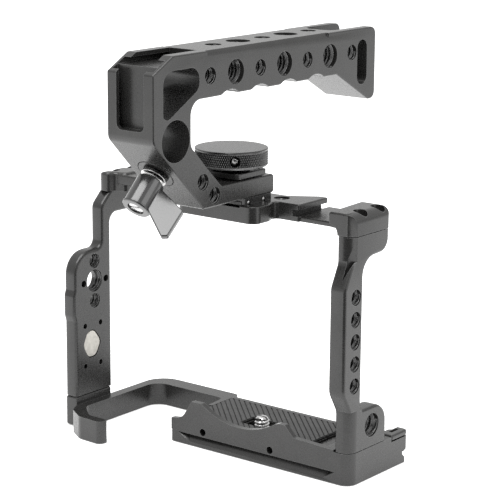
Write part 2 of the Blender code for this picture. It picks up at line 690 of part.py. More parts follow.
def cut_front_shoe(item):
    x = HANDLE_X
    for half, front, name in ((SHOE_SLOT, -83.9, "front_shoe_slot"), (SHOE_GAP, -92.0, "front_shoe_mouth")):
        outline = rounded([
            (x - half, 137.6, 2.2), (x + half, 137.6, 2.2), (x + half, 170.0, 0), (x - half, 170.0, 0),
        ])
        cut(item, prism_mesh(outline, "Y", front, -81.2), name)


def cut_top_shoe(item):
    x = HANDLE_X
    cut(item, box_mesh(x - SHOE_SLOT, x + SHOE_SLOT, -92, -57.0, 159.7, 161.8), "top_shoe_slot")
    cut(item, box_mesh(x - SHOE_GAP, x + SHOE_GAP, -92, -57.0, 159.7, 170), "top_shoe_mouth")


def cut_grip_edges(item):
    """Takes the sharp upper edges off the part of the handle that the hand closes round."""
    for side in (-1, 1):
        edge = HANDLE_X + side * HANDLE_HALF
        outline = [
            (edge - side * 2.14, HANDLE_TOP + 1.0), (edge + side * 0.74, HANDLE_TOP - 2.9),
            (edge + side * 4.0, HANDLE_TOP - 2.9), (edge + side * 4.0, HANDLE_TOP + 1.0),
        ]
        cut(item, prism_mesh(outline, "Y", -56.5, 16.5), "grip_edge")


def cut_rear_pocket(item):
    """Open pocket that leaves two cheeks at the rear end of the handle."""
    left, right = HANDLE_X - 6.8, HANDLE_X + 6.8
    outline = rounded([(left, 23.0, 4.0), (right, 23.0, 4.0), (right, 56.0, 0), (left, 56.0, 0)])
    return cut(item, prism_mesh(outline, "Z", 158.0, HANDLE_TOP + 4), "rear_pocket")


# ---------------------------------------------------------------- handle clamp
def pressure_block():
    left, right = HANDLE_X - 10.2, HANDLE_X + 10.2
    outline = rounded([(left, -38.2, 2.2), (right, -38.2, 2.2), (right, -21.2, 0.8), (left, -21.2, 0.8)])
    item = new_part("pressure_block", prism_mesh(outline, "Z", 114.3, 116.6), anodised("pressure_block_anodised"))
    bevel(item, 0.4)
    return drill(item, "Z", (HANDLE_X, KNOB_Y), 6.9, 112, 119, 24)


def knob_washer():
    profile = [(3.4, 117.7), (7.0, 117.7), (7.0, 116.9), (3.4, 116.9), (3.4, 117.7)]
    mesh = turned_mesh(profile, 32)
    mesh.transform(Matrix.Translation((HANDLE_X, KNOB_Y, 0)))
    return new_part("knob_washer", mesh, dark_steel("knob_washer_steel"), (HANDLE_X, KNOB_Y, 117.3))


def clamp_knob():
    profile = [
        (0, KNOB_HIGH), (KNOB_RADIUS - 0.6, KNOB_HIGH), (KNOB_RADIUS, KNOB_HIGH - 0.6),
        (KNOB_RADIUS, KNOB_LOW + 0.6), (KNOB_RADIUS - 0.6, KNOB_LOW), (3.4, KNOB_LOW), (3.4, 122.6), (0, 122.6),
    ]
    mesh = turned_mesh(profile, 56)
    mesh.transform(Matrix.Translation((HANDLE_X, KNOB_Y, 0)))
    item = new_part("clamp_knob", mesh, anodised("clamp_knob_anodised"), (HANDLE_X, KNOB_Y, KNOB_LOW))
    return cut(item, knob_hole_mesh(1.7, KNOB_RADIUS - 6.0, KNOB_RADIUS + 2), "set_screw_hole")


def knob_hole_mesh(radius, low, high):
    """Radial cylinder through the knob's rim, facing the front right."""
    mesh = cylinder_mesh("X", (0, 0), radius, low, high, 16)
    turn = Matrix.Rotation(math.radians(-46.0), 4, "Z")
    mesh.transform(Matrix.Translation((HANDLE_X, KNOB_Y, 121.2)) @ turn)
    return mesh


def knob_set_screw():
    item = new_part(
        "knob_set_screw", knob_hole_mesh(1.4, KNOB_RADIUS - 5.4, KNOB_RADIUS - 1.4),
        steel("knob_set_screw_steel"), (HANDLE_X, KNOB_Y, KNOB_LOW),
    )
    return cut(item, knob_hole_mesh(0.7, KNOB_RADIUS - 2.6, KNOB_RADIUS + 2), "socket")


def shoe_foot():
    """Flat foot with its threaded stud, drawn up by the knob."""
    slot, mouth = SEAT_HALF - 1.8, SEAT_HALF - 4.3
    plate = box_mesh(HANDLE_X - slot, HANDLE_X + slot, -31.4, -18.4, 103.4, 105.0)
    item = new_part("shoe_foot", plate, dark_steel("shoe_foot_steel"), (HANDLE_X, KNOB_Y, 104.2))
    bevel(item, 0.3)
    add(item, box_mesh(HANDLE_X - mouth, HANDLE_X + mouth, -31.0, -18.8, 104.5, 106.7), "neck", 0.3)
    return add(item, cylinder_mesh("Z", (HANDLE_X, KNOB_Y), 3.1, 104.6, 122.2, 24), "stud")


# ---------------------------------------------------------------- rod clamp lever
def clamp_disc():
    """Dark disc that fills the round recess, flush with the sloping face."""
    profile = [(2.4, 0.15), (6.7, 0.15), (6.85, 0.0), (6.85, -0.45), (2.4, -0.45), (2.4, 0.15)]
    mesh = tilted(turned_mesh(profile, 40))
    return new_part("clamp_disc", mesh, anodised("clamp_disc_anodised"), LEVER_ORIGIN)


def clamp_collar():
    """Bright stepped washer between the disc and the lever."""
    profile = [
        (2.4, 3.0), (3.7, 3.0), (4.0, 2.7), (4.0, 1.9), (4.7, 1.9), (4.9, 1.7), (4.9, 0.45), (2.4, 0.45), (2.4, 3.0),
    ]
    mesh = tilted(turned_mesh(profile, 32))
    return new_part("clamp_collar", mesh, steel("clamp_collar_steel"), LEVER_ORIGIN)


def clamp_screw():
    """Clamp stud: thread in the handle, toothed hub inside the lever barrel."""
    profile = [
        (0, 8.0), (2.7, 8.0), (2.7, 3.3), (2.0, 3.3), (2.0, -10.2), (0, -10.2),
    ]
    mesh = tilted(turned_mesh(profile, 24))
    item = new_part("clamp_screw", mesh, steel("clamp_screw_steel"), LEVER_ORIGIN)
    return cut(item, tilted(cylinder_mesh("Z", (0, 0), 1.45, 3.5, 9, 12)), "tapped_end")


def clamp_lever():
    barrel = [
        (3.1, 15.3), (4.9, 15.3), (5.3, 14.9), (5.3, 14.3), (5.1, 14.1), (5.1, 3.8), (4.7, 3.4),
        (3.0, 3.4), (3.0, 8.3), (1.6, 8.3), (1.6, 9.5), (3.1, 9.5), (3.1, 15.3),
    ]
    item = new_part("clamp_lever", tilted(turned_mesh(barrel, 40)), anodised("clamp_lever_anodised"), LEVER_ORIGIN)
    wing = rounded([
        (3.5, 5.2, 0), (5.2, 5.2, 2.0), (16.5, 10.2, 0.8), (16.0, 21.2, 0.8), (13.9, 22.2, 0.8),
        (4.4, 14.4, 1.5), (3.5, 14.0, 0),
    ])
    mesh = prism_mesh(wing, "Y", -1.3, 1.3)
    mesh.transform(Matrix.Rotation(math.radians(WING_TURN), 4, "Z"))
    return add(item, tilted(mesh), "wing", 0.5)


def lever_screw():
    profile = [(0, 14.9), (2.7, 14.9), (2.7, 13.5), (1.2, 13.5), (1.2, 4.2), (0, 4.2)]
    item = new_part("lever_screw", tilted(turned_mesh(profile, 20)), steel("lever_screw_steel"), LEVER_ORIGIN)
    return cut(item, tilted(box_mesh(-4, 4, -0.4, 0.4, 14.2, 16)), "driver_slot")


def lever_spring():
    """Coil between the lever barrel's shoulder and the screw head."""
    turns = 3.5
    steps = 14
    curve = bpy.data.curves.new("coil", "CURVE")
    curve.dimensions = "3D"
    curve.bevel_depth = 0.2
    curve.bevel_resolution = 1
    curve.use_fill_caps = True
    spline = curve.splines.new("POLY")
    count = int(turns * steps) + 1
    spline.points.add(count - 1)
    for index, point in enumerate(spline.points):
        angle = math.tau * index / steps
        height = 10.0 + 2.9 * index / (count - 1)
        point.co = (2.2 * math.cos(angle), 2.2 * math.sin(angle), height, 1)
    holder = bpy.data.objects.new("coil", curve)
    mesh = bpy.data.meshes.new_from_object(holder)
    bpy.data.objects.remove(holder)
    bpy.data.curves.remove(curve)
    shape = bmesh.new()
    shape.from_mesh(mesh)
    bmesh.ops.remove_doubles(shape, verts=shape.verts, dist=0.0001)
    bmesh.ops.recalc_face_normals(shape, faces=shape.faces)
    shape.to_mesh(mesh)
    shape.free()
    return new_part("lever_spring", tilted(mesh), steel("lever_spring_steel"), LEVER_ORIGIN)


# ---------------------------------------------------------------- build
def build():
    base_plate()
    base_pad()
    key_strip()
    rear_ledge()
    camera_screw()
    screw_washer()
    for number, y in enumerate(RIGHT_SCREW_Y, 1):
        base_screw(f"base_right_screw_{number}", RIGHT_SCREW_X, y, 2.4, 1.4, 17.0 if y > -5 else 21.0)
    for number, y in enumerate(LEFT_SCREW_Y, 1):
        base_screw(f"base_left_screw_{number}", LEFT_SCREW_X, y, 2.2, 1.15, 19.0)
    left_side_plate()
    badge()
    right_side_plate()
    top_plate()
    for number, y in enumerate(TOP_RIGHT_SCREW_Y, 1):
        cap_screw(f"top_right_screw_{number}", TOP_RIGHT_SCREW_X, y, 101.2, 2.4, 89.0)
    for number, y in enumerate(TOP_LEFT_SCREW_Y, 1):
        cap_screw(f"top_left_screw_{number}", LEFT_SCREW_X, y, 100.1, 2.2, 89.0)
    for number, y in enumerate(GRUB_Y, 1):
        grub_screw(f"shoe_grub_screw_{number}", y)
    handle_body()
    pressure_block()
    knob_washer()
    clamp_knob()
    knob_set_screw()
    shoe_foot()
    clamp_disc()
    clamp_collar()
    clamp_screw()
    clamp_lever()
    lever_screw()
    lever_spring()


build()
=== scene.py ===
import math

import bmesh
import bpy
from mathutils import Matrix, Vector


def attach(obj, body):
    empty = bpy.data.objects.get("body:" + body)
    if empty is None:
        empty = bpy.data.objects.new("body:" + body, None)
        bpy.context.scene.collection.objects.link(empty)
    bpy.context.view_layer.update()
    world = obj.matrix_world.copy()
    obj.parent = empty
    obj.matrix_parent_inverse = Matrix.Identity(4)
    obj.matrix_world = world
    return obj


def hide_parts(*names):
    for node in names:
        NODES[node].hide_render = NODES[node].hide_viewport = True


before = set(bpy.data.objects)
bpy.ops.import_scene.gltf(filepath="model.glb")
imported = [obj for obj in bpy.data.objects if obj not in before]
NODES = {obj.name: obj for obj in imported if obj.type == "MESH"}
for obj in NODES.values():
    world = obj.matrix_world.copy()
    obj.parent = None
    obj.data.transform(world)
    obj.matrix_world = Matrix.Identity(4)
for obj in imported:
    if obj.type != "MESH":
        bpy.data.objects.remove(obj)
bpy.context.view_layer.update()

# ---------------------------------------------------------------- sizes (millimetres, in the CAD's frame)
MM = 0.001

HANDLE_X = -8.0
HANDLE_HALF = 10.6
HANDLE_TOP = 163.3
SIDE_HOLE_Y = -54.6            # first hole of the row along the handle
SIDE_HOLE_Z = 154.4
SIDE_HOLE_PITCH = 14.42
SIDE_HOLE_COUNT = 7
LOW_HOLES = ((-58.6, 116.9), (-52.0, 111.2))
TOP_HOLE_COUNT = 5
TOP_QUARTER_FLOOR = 160.0
TOP_LARGE_FLOOR = 158.7
FACE_MARGIN = 0.5              # how far a thread starts inside the face

RIGHT_PLATE = (33.8, 40.1)     # thread limits across the right side plate
RIGHT_ROW_Y = -16.8
RIGHT_ROW_Z = 38.9
RIGHT_ROW_PITCH = 8.43
RIGHT_ROW_COUNT = 5
RIGHT_LARGE_HOLE = (-4.9, 21.0)
LEFT_PLATE = (-92.1, -86.9)    # the same for the left side plate
LEFT_ROW_Y = -19.0
LEFT_QUARTER_Z = (67.4, 50.9)
LEFT_LARGE_Z = 59.2
NOSE_HOLE = (2.3, -11.7)
NOSE_THREAD = (97.7, 103.5)

QUARTER_PITCH = 1.27
QUARTER_THREAD = (3.05, 2.35, QUARTER_PITCH)    # 1/4 inch: root radius just inside the CAD bore, crest, pitch
LARGE_THREAD = (4.57, 3.75, 1.5875)             # the same for 3/8 inch

KNOB_Y = -29.3
KNOB_RADIUS = 13.7
KNOB_LOW = 117.8
KNOB_HIGH = 124.6
KNOB_BORE = 3.4                # blind bore that takes the stud
KNOB_BORE_TOP = 122.6
KNURL_COUNT = 104              # diamonds round the knob
KNURL_DEPTH = 0.5
KNURL_CELL = 1.7               # height of one diamond
KNURL_INSET = 0.1              # points of the knurl below the full radius
SET_SCREW_TURN = -46.0         # direction of the set screw in the rim, in degrees
SET_SCREW_Z = 121.2
SET_SCREW_RADIUS = 1.95

SCREW_X = -13.75               # camera screw
SCREW_Y = -1.7
SCREW_CORE = 2.45              # root and crest radius of its thread
SCREW_CREST = 2.95
SCREW_HEAD_LOW = 1.6
SCREW_HEAD_TOP = 4.3
SCREW_TIP = 12.35
SCREW_SLOTS_X = (-20.5, -7.0)  # length of the tools that cut its two slots

PAD_LEFT, PAD_RIGHT = -43.4, 14.3
PAD_FRONT, PAD_BACK = -16.4, 16.5
PAD_LOW, PAD_TOP = 8.6, 9.4
PAD_SLOT_X = (-21.5, -6.0)     # slot for the camera screw
PAD_SLOT_HALF = 4.3
RIB_PITCH = 1.97               # diagonal ribs, measured square to them
RIB_HEIGHT = 0.5
RIB_SECTION = ((0.0, 1.0), (0.74, 1.0), (0.82, 0.0), (0.92, 0.0))    # shares of the pitch and the height

# ---------------------------------------------------------------- studio (metres and degrees)
CAMERA_PLACE = (0.41883, -0.5669, 0.24599)
CAMERA_TURN = (76.8436, -0.4216, 37.9516)
CAMERA_LENS = 136.123          # millimetres on a 36 mm sensor
CAMERA_SIDE = (0.6, -0.8)      # level direction from the object towards the camera
CARD_SIZE = (0.30, 0.50)
CARD_TILT = -33.0
CARD_DISTANCE = 0.34
CARD_HEIGHT = 0.14
OBJECT_CENTRE = (-0.02, 0.0, 0.08)
FLOOR_RADIUS = 6.0
FLOOR_DROP = 0.0003


# ---------------------------------------------------------------- material nodes
class Graph:
    """Small helper that adds linked nodes to one material."""

    def __init__(self, name):
        self.material = bpy.data.materials.new(name)
        self.material.use_nodes = True
        self.tree = self.material.node_tree
        self.shader = self.tree.nodes["Principled BSDF"]
        self.place = self.add("ShaderNodeTexCoord").outputs["Object"]

    def add(self, kind, **settings):
        node = self.tree.nodes.new(kind)
        for name, value in settings.items():
            setattr(node, name, value)
        return node

    def link(self, source, target):
        self.tree.links.new(source, target)

    def noise(self, scale, detail=3.0, stretch=(1, 1, 1)):
        """Noise at so many cells a metre, stretched along an axis by a small factor there."""
        mapping = self.add("ShaderNodeMapping")
        mapping.inputs["Scale"].default_value = stretch
        self.link(self.place, mapping.inputs["Vector"])
        noise = self.add("ShaderNodeTexNoise")
        noise.inputs["Scale"].default_value = scale
        noise.inputs["Detail"].default_value = detail
        noise.inputs["Roughness"].default_value = 0.6
        self.link(mapping.outputs["Vector"], noise.inputs["Vector"])
        return noise.outputs["Fac"]

    def spread(self, source, low, high, from_low=0.3, from_high=0.7):
        """Maps a value range to another one."""
        node = self.add("ShaderNodeMapRange")
        node.inputs["From Min"].default_value = from_low
        node.inputs["From Max"].default_value = from_high
        node.inputs["To Min"].default_value = low
        node.inputs["To Max"].default_value = high
        self.link(source, node.inputs["Value"])
        return node.outputs["Result"]

    def ramp(self, source, *stops):
        """Colours at positions along a value."""
        node = self.add("ShaderNodeValToRGB")
        while len(node.color_ramp.elements) < len(stops):
            node.color_ramp.elements.new(0.5)
        for element, (position, colour) in zip(node.color_ramp.elements, stops):
            element.position = position
            element.color = (*colour, 1.0)
        self.link(source, node.inputs["Fac"])
        return node.outputs["Color"]

    def edges(self, radius):
        """About 1 on edges and corners and 0 on flat faces."""
        round_normal = self.add("ShaderNodeBevel", samples=6)
        round_normal.inputs["Radius"].default_value = radius
        geometry = self.add("ShaderNodeNewGeometry")
        dot = self.add("ShaderNodeVectorMath", operation="DOT_PRODUCT")
        self.link(round_normal.outputs["Normal"], dot.inputs[0])
        self.link(geometry.outputs["Normal"], dot.inputs[1])
        return self.spread(dot.outputs["Value"], 1.0, 0.0, 0.86, 0.995)

    def cavity(self, distance):
        """0 deep inside holes and corners, 1 on open faces."""
        node = self.add("ShaderNodeAmbientOcclusion", samples=16)
        node.inputs["Distance"].default_value = distance
        return self.spread(node.outputs["AO"], 0.0, 1.0, 0.03, 0.3)

    def distance_to_axis(self, x, y):
        """Distance in metres to a vertical axis given in millimetres."""
        mapping = self.add("ShaderNodeMapping")
        mapping.inputs["Location"].default_value = (-x * MM, -y * MM, 0)
        mapping.inputs["Scale"].default_value = (1, 1, 0)
        length = self.add("ShaderNodeVectorMath", operation="LENGTH")
        self.link(self.place, mapping.inputs["Vector"])
        self.link(mapping.outputs["Vector"], length.inputs[0])
        return length.outputs["Value"]

    def height(self):
        """Height in metres above the object's own origin."""
        parts = self.add("ShaderNodeSeparateXYZ")
        self.link(self.place, parts.inputs["Vector"])
        return parts.outputs["Z"]

    def mix(self, factor, first, second):
        """First colour where the factor is 0, second where it is 1."""
        node = self.add("ShaderNodeMix", data_type="RGBA")
        self.link(factor, node.inputs["Factor"])
        self.link(first, node.inputs[6])
        self.link(second, node.inputs[7])
        return node.outputs[2]

    def times(self, first, second):
        node = self.add("ShaderNodeMath", operation="MULTIPLY")
        self.link(first, node.inputs[0])
        self.link(second, node.inputs[1])
        return node.outputs["Value"]

    def bump(self, height, distance, strength=1.0, after=None):
        """Normal of a fine relief, so many metres high, on top of another relief if one is given."""
        node = self.add("ShaderNodeBump")
        node.inputs["Strength"].default_value = strength
        node.inputs["Distance"].default_value = distance
        self.link(height, node.inputs["Height"])
        if after is not None:
            self.link(after, node.inputs["Normal"])
        return node.outputs["Normal"]

    def finish(self, colour, roughness, normal, metallic=0.0, ior=1.5, gloss=None):
        """Joins everything to the shader and gives back the material."""
        if gloss is not None:
            self.link(gloss, self.shader.inputs["Specular IOR Level"])
        self.link(colour, self.shader.inputs["Base Color"])
        self.link(roughness, self.shader.inputs["Roughness"])
        self.link(normal, self.shader.inputs["Normal"])
        self.shader.inputs["Metallic"].default_value = metallic
        self.shader.inputs["IOR"].default_value = ior
        return self.material


def grey(value, warm=0.0):
    """Neutral colour, warmed by a small share."""
    return (value * (1 + warm), value, value * (1 - warm))


def anodised(name):
    """Black anodised aluminium: fine grain, handling marks, edges lighter by wear and a painted highlight,
    and painted shade that makes recesses black and dull.
    """
    g = Graph(name)
    dark, light = 0.010, 0.017
    grain = g.noise(8000, 2.0)
    cloud = g.noise(60, 4.0)
    body = g.ramp(cloud, (0.3, grey(dark, 0.02)), (0.7, grey(light, 0.02)))
    # edges lighter: partly wear, partly a painted highlight along the edges
    wear_and_edge_highlight = g.ramp(grain, (0.3, grey(light * 4.0)), (0.8, grey(light * 9.0)))
    edge_patchiness = g.spread(g.noise(420, 5.0), 0.45, 1.0, 0.40, 0.60)
    wear_and_painted_light = g.mix(g.times(g.edges(0.00034), edge_patchiness), body, wear_and_edge_highlight)
    # painted shade: colour darkened in holes and corners by ambient occlusion
    painted_recess_shade = g.ramp(cloud, (0.3, grey(dark * 0.3)), (0.7, grey(dark * 0.45)))
    open_face = g.cavity(0.006)
    colour = g.mix(open_face, painted_recess_shade, wear_and_painted_light)
    roughness = g.spread(g.noise(900, 5.0), 0.23, 0.33)
    normal = g.bump(grain, 0.00001, 0.3, g.bump(g.noise(1500, 2.0), 0.00002, 0.12))
    # painted shade: reflections dimmed in holes and corners
    gloss = g.spread(open_face, 0.05, 0.5, 0.0, 1.0)
    return g.finish(colour, roughness, normal, gloss=gloss)


def knob_finish(name):
    """Black anodising of the knob, with painted shade in the grooves of the knurl and a painted highlight,
    partly wear, on its points.
    """
    g = Graph(name)
    body = g.ramp(g.noise(60, 4.0), (0.3, grey(0.010)), (0.7, grey(0.017)))
    points = (KNOB_RADIUS - KNURL_INSET) * MM
    grooves = points - KNURL_DEPTH * MM
    relief = g.spread(g.distance_to_axis(HANDLE_X, KNOB_Y), 0.0, 1.0, grooves, points)
    # painted shade in the knurl's grooves and painted highlight on its points, partly wear
    wear_and_painted_light = g.ramp(
        relief,
        (0.0, grey(0.003)), (0.35, grey(0.006)), (0.55, grey(0.07)), (0.8, grey(0.12)), (1.0, grey(0.03)),
    )
    rim = g.spread(g.height(), 1.0, 0.0, (KNOB_HIGH - 0.6) * MM, (KNOB_HIGH - 0.4) * MM)
    colour = g.mix(rim, body, wear_and_painted_light)
    roughness = g.spread(g.noise(900, 5.0), 0.20, 0.30)
    return g.finish(colour, roughness, g.bump(g.noise(8000, 2.0), 0.00001, 0.3))


def thread_finish(name):
    """Cut threads: darker than the open anodising as painted shade, with a painted highlight, partly wear,
    along the crests.
    """
    g = Graph(name)
    # painted shade: threads in holes coloured darker than the open anodising
    body = g.ramp(g.noise(900, 4.0), (0.3, grey(0.006)), (0.7, grey(0.012)))
    wear_and_edge_highlight = g.ramp(g.noise(2400, 3.0), (0.35, grey(0.12)), (0.75, grey(0.30)))
    # painted highlight, partly wear, on the crests
    colour = g.mix(g.edges(0.00025), body, wear_and_edge_highlight)
    roughness = g.spread(g.noise(1400, 4.0), 0.16, 0.26)
    return g.finish(colour, roughness, g.bump(g.noise(4200, 2.0), 0.00002, 0.3))


def turned_steel(name):
    """Bright steel with fine tool marks and a little grime."""
    g = Graph(name)
    value = 0.58
    marks = g.noise(2600, 4.0, stretch=(1, 1, 6))
    colour = g.ramp(g.noise(300, 5.0), (0.3, grey(value * 0.8)), (0.7, grey(value, 0.01)))
    roughness = g.spread(g.noise(1400, 4.0), 0.16, 0.34)
    return g.finish(colour, roughness, g.bump(marks, 0.00001, 0.3), metallic=1.0)


def badge_metal(name):
    """Dull warm white metal of the badge, cast with a slightly uneven face."""
    g = Graph(name)
    colour = g.ramp(g.noise(500, 4.0), (0.3, (0.36, 0.35, 0.32)), (0.7, (0.50, 0.485, 0.45)))
    roughness = g.spread(g.noise(900, 4.0), 0.34, 0.48)
    return g.finish(colour, roughness, g.bump(g.noise(700, 3.0), 0.0001, 0.5), metallic=1.0)


def black_steel(name):
    """Black-oxide screw steel, slightly oily, with bright edges, partly wear and partly a painted highlight.
    """
    g = Graph(name)
    value = 0.02
    body = g.ramp(g.noise(500, 4.0), (0.3, grey(value * 0.7)), (0.7, grey(value * 1.4, 0.03)))
    wear_and_edge_highlight = g.ramp(g.noise(3000, 2.0), (0.3, grey(value * 4)), (0.7, grey(value * 8)))
    # edges lighter: partly wear, partly a painted highlight
    colour = g.mix(g.edges(0.00012), body, wear_and_edge_highlight)
    roughness = g.spread(g.noise(1200, 4.0), 0.26, 0.44)
    return g.finish(colour, roughness, g.bump(g.noise(4000, 2.0), 0.00002, 0.4))


def pad_rubber(name):
    """Matt black rubber with a fine pebbled skin and patches of dust."""
    g = Graph(name)
    pebble = g.noise(3600, 3.0)
    body = g.ramp(g.noise(120, 4.0), (0.3, grey(0.030)), (0.7, grey(0.045)))
    dusty = g.ramp(pebble, (0.3, grey(0.05, 0.03)), (0.7, grey(0.11, 0.04)))
    colour = g.mix(g.spread(g.noise(700, 5.0), 0.0, 0.35, 0.45, 0.7), body, dusty)
    roughness = g.spread(pebble, 0.5, 0.75)
    return g.finish(colour, roughness, g.bump(pebble, 0.00005, 0.5))


def lever_finish(name):
    """Polished black anodising of the clamp lever, with fine turning marks and edges lighter by wear and a
    painted highlight.
    """
    g = Graph(name)
    body = g.ramp(g.noise(80, 3.0), (0.3, grey(0.008)), (0.7, grey(0.014)))
    wear_and_edge_highlight = g.ramp(g.noise(2600, 2.0), (0.3, grey(0.06)), (0.8, grey(0.14)))
    # edges lighter: partly wear, partly a painted highlight
    colour = g.mix(g.edges(0.0003), body, wear_and_edge_highlight)
    roughness = g.spread(g.noise(1200, 4.0), 0.13, 0.20)
    return g.finish(colour, roughness, g.bump(g.noise(3600, 2.0), 0.00001, 0.3), ior=1.75)


def card_paper(name):
    """Matt black paper of the card."""
    g = Graph(name)
    colour = g.ramp(g.noise(60, 2.0), (0.3, grey(0.010)), (0.7, grey(0.014)))
    roughness = g.spread(g.noise(80, 2.0), 0.8, 0.9)
    return g.finish(colour, roughness, g.bump(g.noise(400, 2.0), 0.0001, 0.1))


def studio_floor(name):
    """White floor that glows a little, so that it stays as pale as the backdrop under the object."""
    g = Graph(name)
    colour = g.ramp(g.noise(3, 2.0), (0.3, grey(0.90)), (0.7, grey(0.92)))
    roughness = g.spread(g.noise(40, 2.0), 0.75, 0.85)
    g.shader.inputs["Emission Color"].default_value = (1.0, 1.0, 1.0, 1.0)
    g.shader.inputs["Emission Strength"].default_value = 0.5
    return g.finish(colour, roughness, g.bump(g.noise(200, 2.0), 0.0001, 0.1))


# ---------------------------------------------------------------- CAD nodes: finishes and soft shading
def weld_group():
    """Node group that welds the imported triangles and drops their stored flat normals."""
    group = bpy.data.node_groups.new("weld", "GeometryNodeTree")
    group.interface.new_socket("Geometry", in_out="INPUT", socket_type="NodeSocketGeometry")
    group.interface.new_socket("Geometry", in_out="OUTPUT", socket_type="NodeSocketGeometry")
    start = group.nodes.new("NodeGroupInput")
    end = group.nodes.new("NodeGroupOutput")
    drop = group.nodes.new("GeometryNodeRemoveAttribute")
    drop.inputs["Name"].default_value = "custom_normal"
    weld = group.nodes.new("GeometryNodeMergeByDistance")
    weld.inputs["Distance"].default_value = 0.000004
    smooth = group.nodes.new("GeometryNodeSetShadeSmooth")
    group.links.new(start.outputs["Geometry"], drop.inputs["Geometry"])
    group.links.new(drop.outputs["Geometry"], weld.inputs["Geometry"])
    group.links.new(weld.outputs["Geometry"], smooth.inputs["Geometry"])
    group.links.new(smooth.outputs["Geometry"], end.inputs["Geometry"])
    return group


WELD = weld_group()


def soften(item, edge):
    """Welds a CAD node's triangles, breaks its sharp edges by a hair and shades it smoothly."""
    weld = item.modifiers.new("weld", "NODES")
    weld.node_group = WELD
    flat = item.modifiers.new("flat_faces", "DECIMATE")
    flat.decimate_type = "DISSOLVE"
    flat.angle_limit = math.radians(0.8)
    if edge:
        broken = item.modifiers.new("edge_break", "BEVEL")
        broken.width = edge * MM
        broken.segments = 2
        broken.limit_method = "ANGLE"
        broken.angle_limit = math.radians(50)
        broken.use_clamp_overlap = True
        broken.miter_outer = "MITER_ARC"
    normals = item.modifiers.new("normals", "WEIGHTED_NORMAL")
    normals.keep_sharp = True
    normals.weight = 80
    return item


def dress(name, material, edge):
    """Gives a CAD node its finish and its soft edges."""
    item = NODES[name]
    for slot in item.material_slots:
        slot.material = material
    return soften(item, edge)


# ---------------------------------------------------------------- mesh building
def mesh_object(name, points, faces, material, smooth=True):
    """New object from points in millimetres."""
    mesh = bpy.data.meshes.new(name)
    mesh.from_pydata([Vector(p) * MM for p in points], [], faces)
    mesh.materials.append(material)
    if smooth:
        mesh.shade_smooth()
    item = bpy.data.objects.new(name, mesh)
    bpy.context.scene.collection.objects.link(item)
    return item


def sharpen(item, degrees):
    """Keeps edges above this angle sharp."""
    item.data.set_sharp_from_angle(angle=math.radians(degrees))
    return item


AXES = {
    "X": lambda along, u, v: (along, u, v),
    "Z": lambda along, u, v: (u, v, along),
}


def helix(axis, centre, root, crest, pitch, low, high, steps=28):
    """Thread ridge along an axis, as (points, faces); root is where it meets the wall. Its ends fade out."""
    points, faces = [], []
    turns = (high - low) / pitch - 0.9
    count = int(turns * steps)
    for index in range(count + 1):
        angle = math.tau * index / steps
        middle = low + pitch * (0.45 + index / steps)
        fade = min(1.0, index / (0.4 * steps), (count - index) / (0.4 * steps))
        tip = root + (crest - root) * max(0.04, fade)
        profile = ((root, -0.44), (tip, -0.08), (tip, 0.08), (root, 0.44))
        for radius, shift in profile:
            u = centre[0] + radius * math.cos(angle)
            v = centre[1] + radius * math.sin(angle)
            points.append(AXES[axis](middle + shift * pitch, u, v))
    for index in range(count):
        a, b = 4 * index, 4 * index + 4
        for k in range(4):
            m = (k + 1) % 4
            faces.append((a + k, a + m, b + m, b + k))
    faces.append((3, 2, 1, 0))
    faces.append(tuple(4 * count + k for k in range(4)))
    return points, faces


def join(shapes):
    """Several (points, faces) as one."""
    points, faces = [], []
    for some_points, some_faces in shapes:
        start = len(points)
        points += some_points
        faces += [tuple(start + k for k in face) for face in some_faces]
    return points, faces


def outward(item):
    """Turns every closed shell of the mesh so that its faces point out."""
    shape = bmesh.new()
    shape.from_mesh(item.data)
    bmesh.ops.recalc_face_normals(shape, faces=shape.faces)
    shape.to_mesh(item.data)
    shape.free()
    return item


def threads(name, holes, material):
    """One piece with the thread ridges of several holes; a hole is (axis, centre, large, low, high)."""
    shapes = []
    for axis, centre, large, low, high in holes:
        size = LARGE_THREAD if large else QUARTER_THREAD
        shapes.append(helix(axis, centre, *size, low, high))
    item = outward(mesh_object(name, *join(shapes), material))
    sharpen(item, 35)
    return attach(item, "cage")


def handle_threads(material):
    """Threads of the handle: small and large holes in turn along its side and its top."""
    left = HANDLE_X - HANDLE_HALF + FACE_MARGIN
    right = HANDLE_X + HANDLE_HALF - FACE_MARGIN
    side = []
    for k in range(SIDE_HOLE_COUNT):
        side.append(("X", (SIDE_HOLE_Y + SIDE_HOLE_PITCH * k, SIDE_HOLE_Z), k % 2 == 1, left, right))
    for place in LOW_HOLES:
        side.append(("X", place, False, left, right))
    threads("handle_side_threads", side, material)
    top = []
    for k in range(TOP_HOLE_COUNT):
        large = k % 2 == 1
        low = TOP_LARGE_FLOOR if large else TOP_QUARTER_FLOOR
        top.append(("Z", (HANDLE_X, SIDE_HOLE_Y + SIDE_HOLE_PITCH * (k + 1)), large, low, HANDLE_TOP - 0.4))
    threads("handle_top_threads", top, material)


def plate_threads(material):
    """Threads of the two side plates and of the hole in the nose of the top plate."""
    right = []
    for k in range(RIGHT_ROW_COUNT):
        right.append(("X", (RIGHT_ROW_Y, RIGHT_ROW_Z + RIGHT_ROW_PITCH * k), False, *RIGHT_PLATE))
    right.append(("X", RIGHT_LARGE_HOLE, True, *RIGHT_PLATE))
    threads("right_plate_threads", right, material)
    left = [("X", (LEFT_ROW_Y, z), False, *LEFT_PLATE) for z in LEFT_QUARTER_Z]
    left.append(("X", (LEFT_ROW_Y, LEFT_LARGE_Z), True, *LEFT_PLATE))
    threads("left_plate_threads", left, material)
    threads("top_plate_threads", [("Z", NOSE_HOLE, False, *NOSE_THREAD)], material)


# ---------------------------------------------------------------- knob
def knurl(u, v):
    """Height of a diamond knurl, 0 in the grooves and 1 on the points; u and v count diamonds."""
    first = abs((u + v) % 1.0 - 0.5) * 2
    second = abs((u - v) % 1.0 - 0.5) * 2
    return 1.0 - max(first, second) ** 1.2


